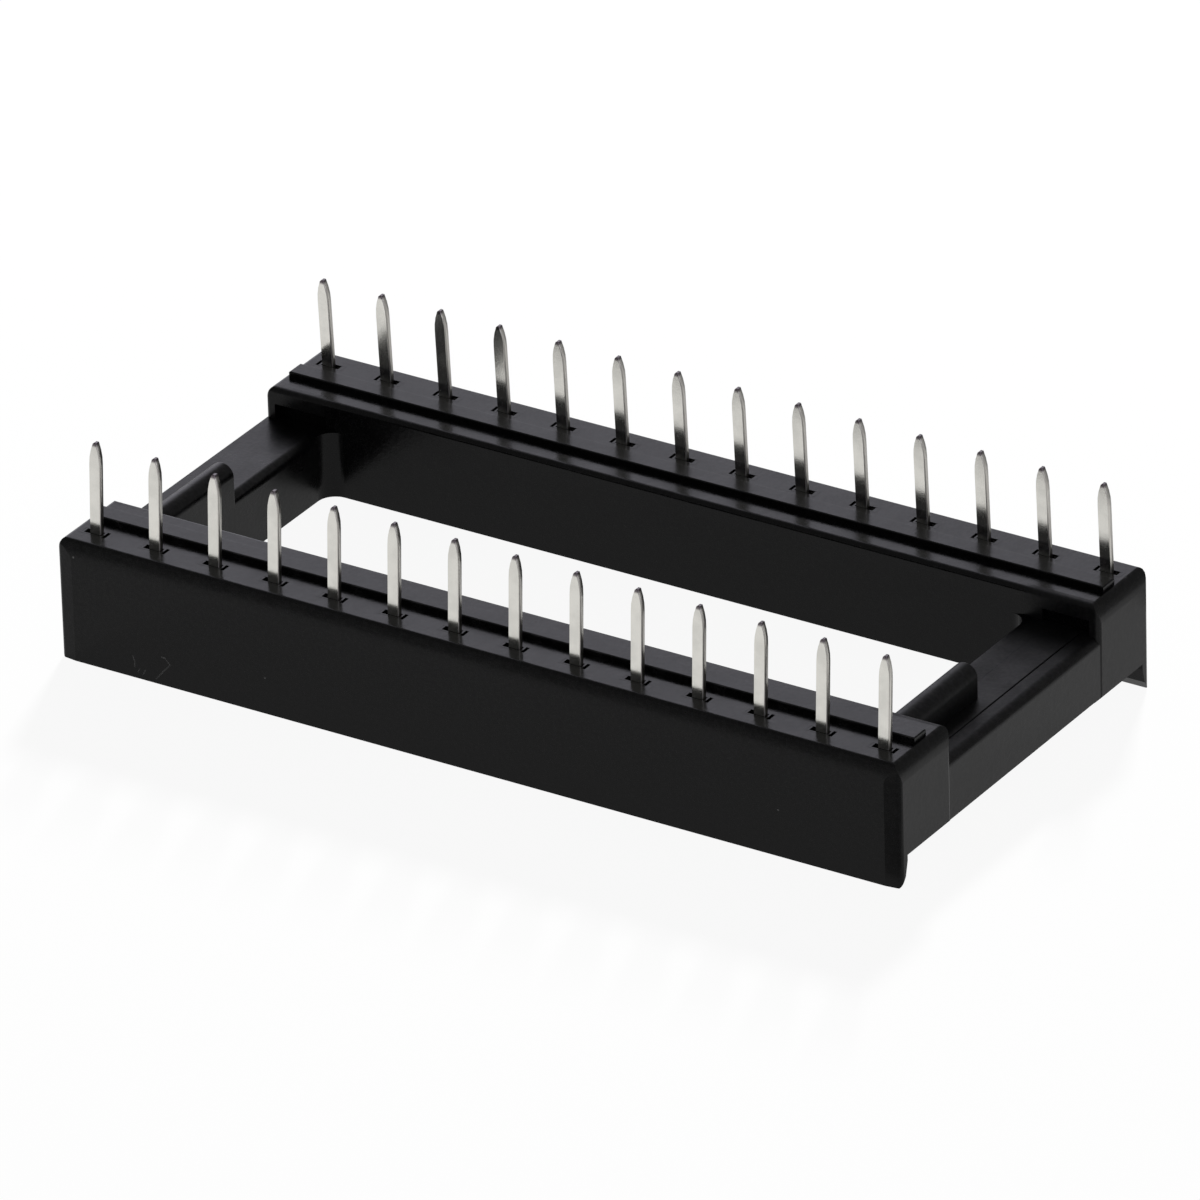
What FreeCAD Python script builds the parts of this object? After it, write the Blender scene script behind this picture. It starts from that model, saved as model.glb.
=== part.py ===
"""Open-frame dual-leaf socket for a 28-position dual in-line package.

The socket lies on its component side, as on a bench with the solder tails up.
X runs along the rows, Y runs across them and +Z points up along the tails.
The origin is the middle of the plane that the socket rests on.
All sizes are in millimetres.
"""
import FreeCAD, Part
import math
import os

V = FreeCAD.Vector

# Contact grid
positions_per_row = 14
pitch = 2.54
row_spacing = 15.24

# Housing outline, built outwards from the rows of pockets
end_margin = 1.14
foot_thickness = 0.50
solder_face_height = 4.87
component_face_height = 0.95
component_end_bevel = 0.22
corner_radius = 0.20
corner_bevel_length = 0.63
corner_bevel_depth = 0.08

# Top edges of the bars: a small rounding that runs on into a wide soft one down the wall
side_edge_radius = 0.15
side_soft_radius = 3.00
side_soft_drop = 0.85
end_edge_radius = 0.20
end_soft_radius = 1.20
end_soft_drop = 0.75

# Wedge-shaped foot that runs along the outer side of each bar
foot_land = 0.08
foot_bevel_width = 0.28
foot_bevel_height = 0.38
foot_end_bevel = 0.10

# Inner side of each row bar: a lip, and the wall set back below it
row_to_lip = 2.54
lip_depth = 0.65
lip_overhang = 0.25
lip_edge_radius = 0.20
undercut_end_margin = 0.40
end_recess_depth = 0.45

# Stand-off rails that keep the solder face clear of the board
standoff_height = 0.235
standoff_width = 0.765
standoff_inset = 1.01
standoff_end_margin = 0.40
standoff_edge_radius = 0.05

# Crossbars
crossbar_width = 2.45
crossbar_drop = 1.30
crossbar_setback = 0.02
crossbar_inner_radius = 0.35
crossbar_outer_radius = 0.35
window_corner_radius = 0.70
ledge_width = 0.70
ledge_depth = 0.06

# Round-topped rib on the front half of each crossbar
rib_width = 0.97
rib_drop = 0.02
rib_end_y = -0.70
rib_end_radius = 0.10

# Contact pockets and tail slots
pocket_length = 1.50
pocket_width = 0.96
floor_thickness = 0.70
lead_in_width = 0.16
lead_in_depth = 0.45
slot_length = 0.95
slot_width = 0.40

# Contacts, each one bent from a single strip
strip_thickness = 0.25
inner_bend_radius = 0.06
leaf_clearance = 0.04
leaf_width = 0.80
leaf_tip_width = 0.60
leaf_tip_inset = 0.35
leaf_tip_rise = 0.55
pinch_gap = 0.16
bridge_height = 0.50
bridge_clearance = 0.05
bridge_drop = 0.40
bridge_chamfer = 0.15
jog_margin = 0.04
shoulder_clearance = 0.075
shoulder_sink = 0.30
shoulder_slope = 0.15
tail_width = 0.42
tail_length = 3.563
tail_lean = 0.18
tail_point_length = 0.85
tail_point_width = 0.10
tail_point_bulge = 0.045

# Sizes that follow from those above
sharpest_plain_turn = math.radians(12)
row_length = (positions_per_row - 1) * pitch
half_length = row_length / 2 + end_margin
row_y = row_spacing / 2
foot_inner_y = row_y + pocket_width / 2
half_width = foot_inner_y + foot_thickness
lip_y = row_y - row_to_lip
wall_y = lip_y + lip_overhang
lip_bottom = solder_face_height - lip_depth
pocket_ceiling = solder_face_height - floor_thickness
crossbar_top = solder_face_height - crossbar_drop
crossbar_outer_x = half_length - crossbar_setback
crossbar_inner_x = crossbar_outer_x - crossbar_width
rib_outer_x = crossbar_inner_x + rib_width
rib_top = solder_face_height - rib_drop
undercut_x = half_length - undercut_end_margin
joint_overlap = 0.20
leaf_centre_y = (pocket_width - strip_thickness) / 2 - leaf_clearance
leaf_top_z = pocket_ceiling - bridge_drop - bridge_height


def polygon(points):
    """Flat face inside a closed outline of corner points."""
    corners = [V(*point) for point in points]
    return Part.Face(Part.makePolygon(corners + corners[:1]))


def box(x_range, y_range, z_range):
    """Box between two values on each axis."""
    corner = V(x_range[0], y_range[0], z_range[0])
    size = [high - low for low, high in (x_range, y_range, z_range)]
    return Part.makeBox(size[0], size[1], size[2], corner)


def same(value, target):
    """True where two coordinates agree."""
    return abs(value - target) < 1e-4


def upright(start, end):
    """True where two points are the ends of a line along Z."""
    return same(start.x, end.x) and same(start.y, end.y)


def level(start, end, height):
    """True where two points both lie at a height."""
    return same(start.z, height) and same(end.z, height)


def wanted_edges(shape, wanted):
    """Those edges of a shape whose two end points are wanted."""
    return [edge for edge in shape.Edges if wanted(edge.Vertexes[0].Point, edge.Vertexes[-1].Point)]


def rounded(shape, radius, wanted):
    """Shape with the wanted edges rounded."""
    return shape.makeFillet(radius, wanted_edges(shape, wanted))


def both_sides(shape, normal):
    """A shape together with its mirror image in a plane through the origin."""
    return [shape, shape.mirror(V(0, 0, 0), normal)]


def contact_x(index):
    """Place of a contact along its row."""
    return index * pitch - row_length / 2


def soft_edge(wall, top, soft_radius, soft_drop, edge_radius):
    """Points of two arcs in a row that lead from a wall, over its top edge, to the top face."""
    soft_centre = wall - soft_radius
    low = top - soft_drop
    span = math.sqrt((soft_radius - edge_radius) ** 2 - (soft_drop - edge_radius) ** 2)
    centre = (soft_centre + span, top - edge_radius)
    join_angle = math.asin((soft_drop - edge_radius) / (soft_radius - edge_radius))
    angles = (0, join_angle / 2, join_angle)
    soft = [(soft_centre + soft_radius * math.cos(a), low + soft_radius * math.sin(a)) for a in angles]
    angles = ((join_angle + math.pi / 2) / 2, math.pi / 2)
    edge = [(centre[0] + edge_radius * math.cos(a), centre[1] + edge_radius * math.sin(a)) for a in angles]
    return soft + edge


def outline_face(pieces, place):
    """Flat face inside a closed outline: pieces of two points are lines, of three are arcs."""
    edges = []
    for piece in pieces:
        points = [place(*point) for point in piece]
        curve = Part.LineSegment(*points) if len(points) == 2 else Part.Arc(*points)
        edges.append(curve.toShape())
    return Part.Face(Part.Wire(edges))


def side_block():
    """Back row bar as one length of its cross-section: lip, soft outer edge and wedge-shaped foot."""
    top = solder_face_height
    soft = soft_edge(half_width, top, side_soft_radius, side_soft_drop, side_edge_radius)
    lip_turn = lip_edge_radius * (1 - math.sqrt(0.5))
    bevel_y = half_width - foot_land - foot_bevel_width
    pieces = [
        ((half_width, 0), soft[0]),
        soft[0:3],
        soft[2:5],
        (soft[4], (lip_y + lip_edge_radius, top)),
        (
            (lip_y + lip_edge_radius, top),
            (lip_y + lip_turn, top - lip_turn),
            (lip_y, top - lip_edge_radius),
        ),
        ((lip_y, top - lip_edge_radius), (lip_y, component_face_height)),
        ((lip_y, component_face_height), (foot_inner_y, component_face_height)),
        ((foot_inner_y, component_face_height), (bevel_y, foot_bevel_height)),
        ((bevel_y, foot_bevel_height), (half_width - foot_land, 0)),
        ((half_width - foot_land, 0), (half_width, 0)),
    ]
    return outline_face(pieces, lambda y, z: V(-half_length, y, z)).extrude(V(2 * half_length, 0, 0))


def end_block():
    """Block across the back bar that has the soft top edges of its two ends."""
    top = solder_face_height
    right = soft_edge(half_length, top, end_soft_radius, end_soft_drop, end_edge_radius)
    left = [(-x, z) for x, z in right]
    bottom = half_length - foot_end_bevel
    pieces = [
        ((-bottom, 0), (bottom, 0)),
        ((bottom, 0), (half_length, foot_end_bevel)),
        ((half_length, foot_end_bevel), right[0]),
        right[0:3],
        right[2:5],
        (right[4], left[4]),
        left[4:1:-1],
        left[2::-1],
        (left[0], (-half_length, foot_end_bevel)),
        ((-half_length, foot_end_bevel), (-bottom, 0)),
    ]
    return outline_face(pieces, lambda x, z: V(x, lip_y, z)).extrude(V(0, half_width - lip_y, 0))


def plan_block():
    """Block that has the corners of the back bar as seen from above."""
    bevel_start = half_length - corner_bevel_length
    bevel_end_y = half_width - corner_bevel_depth
    right = [(half_length, lip_y), (half_length, bevel_end_y), (bevel_start, half_width)]
    outline = right + [(-x, y) for x, y in reversed(right)]
    block = polygon([(x, y, 0) for x, y in outline]).extrude(V(0, 0, solder_face_height))
    block = rounded(block, corner_radius, lambda p, q: upright(p, q) and same(p.y, bevel_end_y))
    return rounded(block, lip_edge_radius, lambda p, q: upright(p, q) and same(p.y, lip_y))


def end_bevel(outer_x, y_range):
    """Space that bevels the lower edge of an end wall on the component side."""
    base = component_face_height
    corners = [(outer_x - component_end_bevel, base), (outer_x, base), (outer_x, base + component_end_bevel)]
    face = polygon([(x, y_range[0], z) for x, z in corners])
    return face.extrude(V(0, y_range[1] - y_range[0], 0))


def row_bar():
    """Back row bar without its pockets."""
    bar = plan_block().common(side_block()).common(end_block())
    return bar.cut(both_sides(end_bevel(half_length, (lip_y, foot_inner_y)), V(1, 0, 0)))


def lip_undercut():
    """Space below the back lip: a long step, and a deeper recess over each crossbar."""
    long_step = box((-undercut_x, undercut_x), (0, wall_y), (0, lip_bottom))
    recess = box((crossbar_inner_x, undercut_x), (0, lip_y + end_recess_depth), (crossbar_top, lip_bottom))
    return [long_step] + both_sides(recess, V(1, 0, 0))


def standoff_rail():
    """Rail on the solder face of the back bar, inside its row of slots."""
    inner_y = lip_y + standoff_inset
    reach = half_length - standoff_end_margin
    top = solder_face_height + standoff_height
    rail = box((-reach, reach), (inner_y, inner_y + standoff_width), (lip_bottom, top))
    return rounded(rail, standoff_edge_radius, lambda p, q: level(p, q, top))


def crossbar(outer_radius=0):
    """Right-hand crossbar with its rib and the round corners of the window below the lip."""
    side = wall_y + joint_overlap
    bar = box((crossbar_inner_x, crossbar_outer_x), (-side, side), (component_face_height, crossbar_top))
    for radius, x in ((crossbar_inner_radius, crossbar_inner_x), (outer_radius, crossbar_outer_x)):
        if radius:
            bar = rounded(bar, radius, lambda p, q: level(p, q, crossbar_top) and same(p.x + q.x, 2 * x))
    bar = bar.cut(end_bevel(crossbar_outer_x, (-side, side)))
    return bar.fuse(both_sides(window_corner(), V(0, 1, 0)) + [crossbar_rib()])


def window_corner():
    """Filling with a hollow round face, between the crossbar and the back wall of the window."""
    axis_x = crossbar_inner_x - window_corner_radius
    axis_y = wall_y - window_corner_radius
    buried_x = crossbar_inner_x + crossbar_inner_radius
    corner = box((axis_x, buried_x), (axis_y, wall_y), (component_face_height, crossbar_top))
    height = crossbar_top - component_face_height
    hollow = Part.makeCylinder(window_corner_radius, height, V(axis_x, axis_y, component_face_height))
    return corner.cut(hollow)


def crossbar_rib():
    """Round-topped rib from the front bar to near the middle of the crossbar."""
    radius = rib_width / 2
    low = component_face_height
    spring_z = rib_top - radius
    pieces = [
        ((crossbar_inner_x, spring_z), (crossbar_inner_x, low)),
        ((crossbar_inner_x, low), (rib_outer_x, low)),
        ((rib_outer_x, low), (rib_outer_x, spring_z)),
        (
            (rib_outer_x, spring_z),
            (crossbar_inner_x + radius, rib_top),
            (crossbar_inner_x, spring_z),
        ),
    ]
    length = lip_y + end_recess_depth + joint_overlap + rib_end_y
    rib = outline_face(pieces, lambda x, z: V(x, rib_end_y, z)).extrude(V(0, -length, 0))
    return rounded(rib, rib_end_radius, lambda p, q: same(p.y + q.y, 2 * rib_end_y) and p.z + q.z > 2 * low)


def pocket(index):
    """Space for one back-row contact: pocket, lead-in at its mouth and tail slot."""
    x = contact_x(index)
    x0 = x - pocket_length / 2
    x1 = x + pocket_length / 2
    y0 = row_y - pocket_width / 2
    y1 = foot_inner_y
    mouth = component_face_height
    cavity = box((x0, x1), (y0, y1), (mouth, pocket_ceiling))
    wide = [
        (x0 - lead_in_width, y0 - lead_in_width, mouth),
        (x1 + lead_in_width, y0 - lead_in_width, mouth),
        (x1 + lead_in_width, y1, mouth),
        (x0 - lead_in_width, y1, mouth),
    ]
    top = mouth + lead_in_depth
    narrow = [(x0, y0, top), (x1, y0, top), (x1, y1, top), (x0, y1, top)]
    funnel = Part.makeLoft([polygon(wide).OuterWire, polygon(narrow).OuterWire], True, True)
    slot = box(
        (x - slot_length / 2, x + slot_length / 2),
        (row_y - slot_width / 2, row_y + slot_width / 2),
        (pocket_ceiling, solder_face_height + standoff_height),
    )
    return [cavity, funnel, slot]


def housing():
    """Moulded housing: two row bars, two crossbars, rails, ribs and all pockets."""
    tools = lip_undercut()
    for index in range(positions_per_row):
        tools += pocket(index)
    back_bar = row_bar().cut(tools).fuse(standoff_rail())
    left_crossbar = crossbar().mirror(V(0, 0, 0), V(1, 0, 0))
    parts = both_sides(back_bar, V(0, 1, 0)) + [left_crossbar, crossbar(crossbar_outer_radius)]
    body = parts[0].fuse(parts[1:])
    ledge = box(
        (rib_outer_x, rib_outer_x + ledge_width),
        (-lip_y, lip_y),
        (crossbar_top - ledge_depth, crossbar_top),
    )
    return body.cut(ledge).removeSplitter()


def side_edges(line, side):
    """Edges of one face of a bent strip, from a centre line of points in the YZ plane."""
    offset = side * strip_thickness / 2
    radius = inner_bend_radius + strip_thickness / 2
    steps = [(end - start).normalize() for start, end in zip(line, line[1:])]
    normals = [V(0, -step.z, step.y) for step in steps]
    cursor = line[0] + normals[0] * offset
    edges = []
    for number in range(1, len(steps)):
        before = steps[number - 1]
        after = steps[number]
        turn = before.getAngle(after)
        middle_normal = (normals[number - 1] + normals[number]).normalize()
        if turn < sharpest_plain_turn:
            corner = line[number] + middle_normal * (offset / math.cos(turn / 2))
            edges.append(Part.LineSegment(cursor, corner).toShape())
            cursor = corner
            continue
        inward = 1 if before.cross(after).x > 0 else -1
        reach = radius * math.tan(turn / 2)
        enter = line[number] - before * reach
        leave = line[number] + after * reach
        centre = enter + normals[number - 1] * (radius * inward)
        arc_start = enter + normals[number - 1] * offset
        arc_middle = centre + middle_normal * (offset - radius * inward)
        arc_end = leave + normals[number] * offset
        edges.append(Part.LineSegment(cursor, arc_start).toShape())
        edges.append(Part.Arc(arc_start, arc_middle, arc_end).toShape())
        cursor = arc_end
    edges.append(Part.LineSegment(cursor, line[-1] + normals[-1] * offset).toShape())
    return edges


def bent_strip(points, width):
    """Strip of sheet metal that follows a centre line in YZ, with its bends rounded."""
    line = [V(0, y, z) for y, z in points]
    left = side_edges(line, 1)
    right = side_edges(line, -1)
    start_cap = Part.LineSegment(left[0].Vertexes[0].Point, right[0].Vertexes[0].Point).toShape()
    end_cap = Part.LineSegment(left[-1].Vertexes[-1].Point, right[-1].Vertexes[-1].Point).toShape()
    outline = Part.Wire(Part.sortEdges(left + right + [start_cap, end_cap])[0])
    strip = Part.Face(outline).extrude(V(width, 0, 0))
    strip.translate(V(-width / 2, 0, 0))
    return strip


def strip_outline():
    """Outline of the tail strip seen along Y: leaf, shoulder, tail blade and its point."""
    tip_z = solder_face_height + tail_length
    neck_z = solder_face_height - shoulder_sink + shoulder_slope
    blade = tail_width / 2
    point = tail_point_width / 2
    curve_z = tip_z - tail_point_length / 2
    curve_x = (blade + point) / 2 + tail_point_bulge
    shoulder = slot_length / 2 - shoulder_clearance
    leaf = leaf_width / 2
    low = component_face_height
    right_side = [
        (blade, tip_z - tail_point_length),
        (blade, neck_z),
        (shoulder, neck_z - shoulder_slope),
        (shoulder, pocket_ceiling),
        (leaf, pocket_ceiling - jog_margin),
        (leaf, leaf_top_z),
        (leaf_tip_width / 2, low),
    ]
    corners = right_side + [(-x, z) for x, z in reversed(right_side)]
    places = [V(x, -row_y, z) for x, z in corners]
    edges = [Part.LineSegment(start, end).toShape() for start, end in zip(places, places[1:])]
    for side in (-1, 1):
        shoulder_of_point = V(side * blade, -row_y, tip_z - tail_point_length)
        bulge = V(side * curve_x, -row_y, curve_z)
        edges.append(Part.Arc(shoulder_of_point, bulge, V(side * point, -row_y, tip_z)).toShape())
    edges.append(Part.LineSegment(V(-point, -row_y, tip_z), V(point, -row_y, tip_z)).toShape())
    return Part.Face(Part.Wire(Part.sortEdges(edges)[0])).extrude(V(0, 2 * row_y, 0))


def bridge():
    """Folded side plate that joins the two leaves near the ceiling of the pocket."""
    inner_x = leaf_width / 2 + bridge_clearance
    outer_x = inner_x + strip_thickness
    outer_y = leaf_centre_y + strip_thickness / 2
    inner_y = outer_y - strip_thickness
    heights = (leaf_top_z, leaf_top_z + bridge_height)
    plate = box((0, outer_x), (-outer_y, outer_y), heights)
    folds = wanted_edges(plate, lambda p, q: upright(p, q) and same(p.x, outer_x))
    plate = plate.makeChamfer(bridge_chamfer, folds)
    return plate.cut(box((0, inner_x), (-inner_y, inner_y), heights))


def contact():
    """Contact for the back row, at the origin, with its tail leaning towards the window."""
    pinch_y = (pinch_gap + strip_thickness) / 2
    tip_z = component_face_height + leaf_tip_inset
    pinch_z = tip_z + leaf_tip_rise
    leaf = [(leaf_centre_y, leaf_top_z), (pinch_y, pinch_z), (leaf_centre_y, tip_z)]
    tail_strip = [
        (-tail_lean, solder_face_height + tail_length),
        (0, solder_face_height),
        (0, pocket_ceiling - jog_margin),
        (-leaf_centre_y, leaf_top_z + bridge_height),
    ] + [(-y, z) for y, z in leaf]
    plain_strip = [(leaf_centre_y, pocket_ceiling)] + leaf
    tail_part = bent_strip(tail_strip, leaf_width + slot_length).common(strip_outline())
    plain_part = bent_strip(plain_strip, leaf_width)
    return tail_part.fuse([plain_part, bridge()]).removeSplitter()


def main():
    """Write every piece to its own file, numbering the contacts round the socket."""
    os.makedirs("parts", exist_ok=True)
    housing().exportStep("parts/housing.step")
    single = contact()
    back_row = [single.translated(V(contact_x(index), row_y, 0)) for index in range(positions_per_row)]
    front_row = [shape.rotated(V(0, 0, 0), V(0, 0, 1), 180) for shape in back_row]
    for number, shape in enumerate(front_row[::-1] + back_row[::-1], start=1):
        shape.exportStep("parts/contact_%02d.step" % number)


main()
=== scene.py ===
"""Looks of an open-frame dual-leaf chip socket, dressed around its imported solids.

The socket lies on its component side with the solder tails up. Sizes in the
properties are in metres, as everything in the scene is.
"""

import math

import bpy
import numpy as np
from bpy.props import FloatProperty, FloatVectorProperty, PointerProperty
from mathutils import Matrix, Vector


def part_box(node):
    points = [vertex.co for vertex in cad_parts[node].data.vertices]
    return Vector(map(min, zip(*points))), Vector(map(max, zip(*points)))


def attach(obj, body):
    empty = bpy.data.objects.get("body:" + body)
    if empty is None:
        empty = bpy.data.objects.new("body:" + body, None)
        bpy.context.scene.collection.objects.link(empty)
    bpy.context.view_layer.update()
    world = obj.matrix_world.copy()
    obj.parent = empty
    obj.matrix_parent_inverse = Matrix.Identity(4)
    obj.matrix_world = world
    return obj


bl_info = {
    "name": "Open-Frame Chip Socket",
    "version": (1, 0, 0),
    "blender": (4, 5, 0),
    "location": "View3D > Sidebar > Socket",
    "description": "Dresses a chip socket in moulded plastic and tin plate",
    "category": "Object",
}

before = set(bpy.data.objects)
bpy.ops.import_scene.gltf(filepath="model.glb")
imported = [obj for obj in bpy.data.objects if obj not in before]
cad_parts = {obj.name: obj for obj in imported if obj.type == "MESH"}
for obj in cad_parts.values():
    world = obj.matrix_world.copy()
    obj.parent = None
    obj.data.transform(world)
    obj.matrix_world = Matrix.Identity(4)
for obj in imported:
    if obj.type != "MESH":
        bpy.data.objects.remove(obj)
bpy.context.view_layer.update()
CONTACTS = sorted(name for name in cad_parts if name.startswith("contact_"))
HOUSING_LOW, HOUSING_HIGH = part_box("housing")
MM = 0.001
WHITE = (1.0, 1.0, 1.0, 1.0)

# The solder face below the stand-off rails, and the rows of tails and their slots in it
RAIL_HEIGHT = 0.235 * MM
SOLDER_FACE = HOUSING_HIGH.z - RAIL_HEIGHT
ROW_SPACING = 15.24 * MM
SLOT_LENGTH = 0.95 * MM
SLOT_WIDTH = 0.40 * MM
STRIP_THICKNESS = 0.25 * MM
TAIL_LEAN = 0.18 * MM
TAIL_LENGTH = 3.563 * MM

# The crossbars between the inner walls, and the shallow ledge in the top of the right one
CROSSBAR_TOP = SOLDER_FACE - 1.30 * MM
CROSSBAR_UNDERSIDE = 0.95 * MM
CROSSBAR_INNER_X = 15.18 * MM
INNER_WALL_Y = 5.33 * MM
LEDGE_X = (16.15 * MM, 16.85 * MM)
LEDGE_Y = 5.08 * MM
LEDGE_DEPTH = 0.06 * MM

# Handling scratches on the front wall, each a run of (x, z) places in millimetres
FRONT_SCRATCHES = (
    ((-13.26, 1.13), (-13.10, 1.12), (-12.90, 0.90), (-13.21, 0.56), (-13.53, 0.18)),
    ((-14.51, 0.85), (-14.43, 0.62), (-14.45, 0.43)),
    ((-14.24, 0.38), (-14.31, 0.25)),
    ((-13.99, 0.42), (-14.09, 0.21)),
)

# Specks of dust on the front wall and a pale speck on the top of the right rib, in millimetres,
# with the radius of each and the share of it that shows at full strength
SPECKS = ((-16.92, -8.6, 4.22), (-8.81, -8.6, 1.45), (12.67, -8.6, 1.85), (15.35, -3.22, 4.76))
SPECK_RADIUS = 0.05 * MM
SPECK_CORE = 0.6

# Where the coarser skin of the crossbars sets in or ends: along Y beside the inner walls, and
# along X at the inner and outer side of the right crossbar and the inner side of the left one
SKIN_EDGE_Y = (5.35 * MM, 5.45 * MM)
NEAR_SKIN_INNER_X = (14.2 * MM, 15.1 * MM)
NEAR_SKIN_OUTER_X = (17.45 * MM, 17.6 * MM)
FAR_SKIN_INNER_X = (-15.3 * MM, -14.9 * MM)

# Features per metre of the noise in the plastic: paler grain, its tint, the swell of the skin,
# clouds of changing roughness and the ragged edges of the scratches
GRAIN = 6500.0
TINT_GRAIN = 4000.0
SWELL_GRAIN = 1900.0
CLOUD_GRAIN = 900.0
SCRATCH_GRAIN = 9000.0

# How strongly each shows: the ranges of the noise over which grain and clouds set in, the least
# and most roughness that a cloud adds, and the rest as shares
GRAIN_RANGE = (0.34, 0.70)
CLOUD_RANGE = (0.3, 0.7)
CLOUD_ROUGHNESS = (-0.03, 0.05)
TINT_SHARE = 0.35
SWELL_SHARE = 2.5
PLASTIC_BUMP_SHARE = 0.12
PLASTIC_BUMP_HEIGHT = 0.01 * MM

# Scratches: the multiples of their half width between which they fade, the roughness that they
# add, and how deep behind the front face they may show
SCRATCH_FADE = (0.6, 1.6)
SCRATCH_ROUGHNESS = 0.3
SCRATCH_ZONE = 0.5 * MM

# The tin: features per metre of its dull clouds and its fine grain, and how strongly both show
TIN_CLOUD_GRAIN = 1500.0
TIN_CLOUD_RANGE = (0.35, 0.7)
DULL_TIN_SHARE = 0.9
TIN_FINE_GRAIN = 16000.0
TIN_BUMP_SHARE = 0.2
TIN_BUMP_HEIGHT = 0.004 * MM

# The strip: how far a face looks along Y where it turns from a sheared edge to a rolled face, the
# roughness that an edge adds, where below its tip a tail's cut end sets in, and how far below the
# solder face the tail starts
SHEARED_RANGE = (0.35, 0.75)
SHEARED_ROUGHNESS = 0.15
CUT_END = (0.16 * MM, 0.04 * MM)
TAIL_SINK = 0.3 * MM

# The painted dark reflection: a band of floor behind the socket that its gloss shows dark, so that
# the right edges of the back tails reflect dark. Its middle and how wide it is at full strength
# and at none, and the slanting line at which it ends beside the right end wall
BAND_MIDDLE_Y = 16.6 * MM
BAND_HALF_WIDTHS = (1.6 * MM, 2.6 * MM)
BAND_SLANT = 1.545
BAND_END = (-18.9 * MM, -17.9 * MM)

# The painted shadow in the gloss, a darker wedge of floor before the near right corner where the
# socket's shadow falls: how far it starts from the corner along X, the directions across its
# slanting side and straight before the front wall, and for each the distances over which it
# sets in
WEDGE_INSET = 0.65 * MM
WEDGE_ACROSS = (0.905, -0.426, 0.0)
WEDGE_ACROSS_REACH = (-0.3 * MM, 0.5 * MM)
WEDGE_BEFORE = (0.0, -1.0, 0.0)
WEDGE_BEFORE_REACH = (0.2 * MM, 1.2 * MM)

# The bright sides in the gloss: the turns from straight behind at which one starts and ends, how
# soft those two edges are, and the heights (sines of the angle) between which it fades
PANEL_TURNS = (math.radians(24), math.radians(80))
PANEL_FIRST_EDGE = (-0.06, 0.14)
PANEL_LAST_EDGE = (-0.10, 0.10)
PANEL_TOP = (0.74, 0.86)

# How many points a round corner of the window and a side of the floor have
ARC_POINTS = 13
FLOOR_POINTS = 9

# The camera: where it stands, how it is rolled, how far it is, how far it is shifted down, and the
# width of its sensor in millimetres
CAMERA_AZIMUTH = math.radians(32.926)
CAMERA_ELEVATION = math.radians(27.765)
CAMERA_ROLL = math.radians(-1.655)
CAMERA_DISTANCE = 538.99 * MM
CAMERA_DROP = 1.722 * MM
SENSOR_WIDTH = 36.0


def start_tree(owner):
    """Empty node tree of a material or a world."""
    owner.use_nodes = True
    owner.node_tree.nodes.clear()
    return owner.node_tree


def add(tree, kind, settings=None, **inputs):
    """Node of a kind with its settings, and its sockets set or linked by name or by number."""
    made = tree.nodes.new(kind)
    for key, value in (settings or {}).items():
        setattr(made, key, value)
    for key, value in inputs.items():
        numbered = key[0] == "i" and key[1:].isdigit()
        socket = made.inputs[int(key[1:]) if numbered else key.replace("_", " ")]
        if isinstance(value, bpy.types.NodeSocket):
            tree.links.new(value, socket)
        else:
            socket.default_value = value
    return made


def maths(tree, operation, first, second=0.0, third=0.0):
    """Result of a Math node."""
    made = add(tree, "ShaderNodeMath", {"operation": operation}, i0=first, i1=second, i2=third)
    return made.outputs[0]


def vector_maths(tree, operation, first, second=(0.0, 0.0, 0.0)):
    """Result of a Vector Math node: its number where the operation gives one."""
    made = add(tree, "ShaderNodeVectorMath", {"operation": operation}, i0=first, i1=second)
    return made.outputs[1 if operation in ("LENGTH", "DISTANCE", "DOT_PRODUCT") else 0]


def ramp(tree, value, low, high, to_low=0.0, to_high=1.0):
    """Value carried smoothly from one range to another and clamped."""
    made = add(
        tree,
        "ShaderNodeMapRange",
        {"interpolation_type": "SMOOTHSTEP"},
        Value=value,
        From_Min=low,
        From_Max=high,
        To_Min=to_low,
        To_Max=to_high,
    )
    return made.outputs[0]


def blend_colour(tree, factor, first, second, blend="MIX"):
    """Colour between two, by a factor, or one colour times the other."""
    settings = {"data_type": "RGBA", "blend_type": blend}
    return add(tree, "ShaderNodeMix", settings, i0=factor, i6=first, i7=second).outputs[2]


def blend_values(tree, factor, first, second):
    """Number between two, by a factor."""
    settings = {"data_type": "FLOAT"}
    return add(tree, "ShaderNodeMix", settings, i0=factor, i2=first, i3=second).outputs[0]


def blend_vectors(tree, factor, first, second):
    """Vector between two, by a factor."""
    settings = {"data_type": "VECTOR"}
    return add(tree, "ShaderNodeMix", settings, i0=factor, i4=first, i5=second).outputs[1]


def scaled(tree, vector, factor):
    """Vector times a number."""
    settings = {"operation": "SCALE"}
    return add(tree, "ShaderNodeVectorMath", settings, i0=vector, i3=factor).outputs[0]


def parts_of(tree, vector):
    """The three numbers of a vector."""
    return add(tree, "ShaderNodeSeparateXYZ", None, Vector=vector).outputs


def noise(tree, place, scale, detail=2.0, output=0):
    """Fractal noise at a scale in features per metre, as a value (0) or as a colour (1)."""
    made = add(tree, "ShaderNodeTexNoise", None, Vector=place, Scale=scale, Detail=detail)
    return made.outputs[output]


def emission(tree, strength):
    """White light of a strength."""
    return add(tree, "ShaderNodeEmission", None, Color=WHITE, Strength=strength).outputs[0]


def background(tree, strength, colour=WHITE):
    """Surroundings of a strength, white unless they have a colour."""
    return add(tree, "ShaderNodeBackground", None, Color=colour, Strength=strength).outputs[0]


def mix_shaders(tree, factor, first, second):
    """Shader between two, by a factor."""
    return add(tree, "ShaderNodeMixShader", None, i0=factor, i1=first, i2=second).outputs[0]


def rgba(colour):
    """Colour with full opacity."""
    return tuple(colour)[:3] + (1.0,)


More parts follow.
